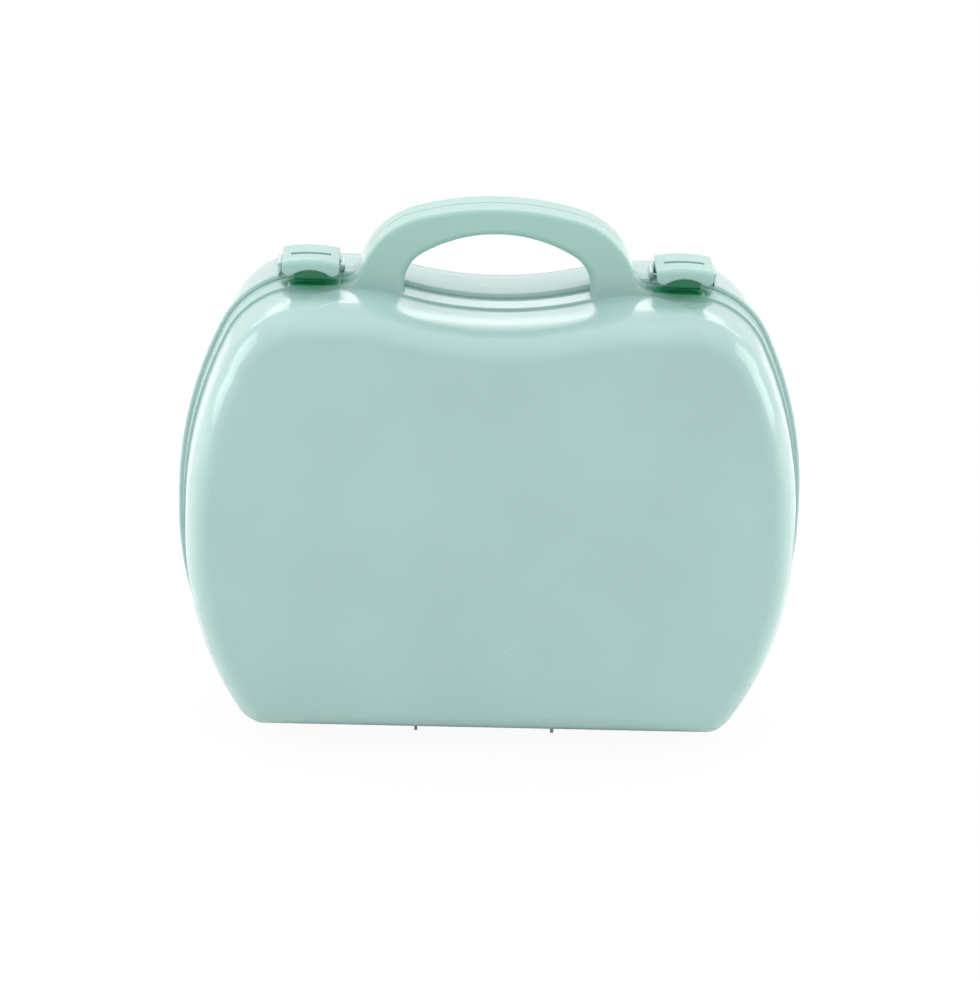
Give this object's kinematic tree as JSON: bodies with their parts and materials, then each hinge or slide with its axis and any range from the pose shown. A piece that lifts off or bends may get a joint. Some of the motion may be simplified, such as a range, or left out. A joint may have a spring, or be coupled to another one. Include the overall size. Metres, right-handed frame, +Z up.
{
  "type": "toy carry case",
  "caption": "Hinged two-shell plastic toy case with a hollow carrying handle and two top latches, standing closed on its feet.",
  "frame": {"origin": "on the ground in the middle of the width, on the seam plane between the shells, 1.5 mm in front of the middle of the depth", "axes": "+X along the width to the right in front view, +Y from the front shell to the rear shell, +Z up"},
  "size_m": [0.2634, 0.1, 0.2273],
  "materials": {
    "front_plastic": "satin",
    "rear_plastic": "satin",
    "latch_plastic": "satin",
    "pin_steel": "satin"
  },
  "bodies": {
    "rear": {"rear_shell": "rear_plastic", "hinge_pin_left": "pin_steel", "hinge_pin_right": "pin_steel", "latch_pin_left": "pin_steel", "latch_pin_right": "pin_steel"},
    "front": {"front_shell": "front_plastic"},
    "left_latch": {"latch_left": "latch_plastic"},
    "right_latch": {"latch_right": "latch_plastic"}
  },
  "joints": [
    {"name": "case_hinge", "type": "hinge", "parent": "rear", "child": "front", "pos_m": [0, 0, 0.0023], "axis": [1, 0, 0], "range_deg": [0, 180]},
    {"name": "left_latch_hinge", "type": "hinge", "parent": "rear", "child": "left_latch", "pos_m": [-0.0772, 0.01, 0.1976], "axis": [-1, 0, 0], "range_deg": [0, 95]},
    {"name": "right_latch_hinge", "type": "hinge", "parent": "rear", "child": "right_latch", "pos_m": [0.0772, 0.01, 0.1976], "axis": [-1, 0, 0], "range_deg": [0, 95]}
  ]
}
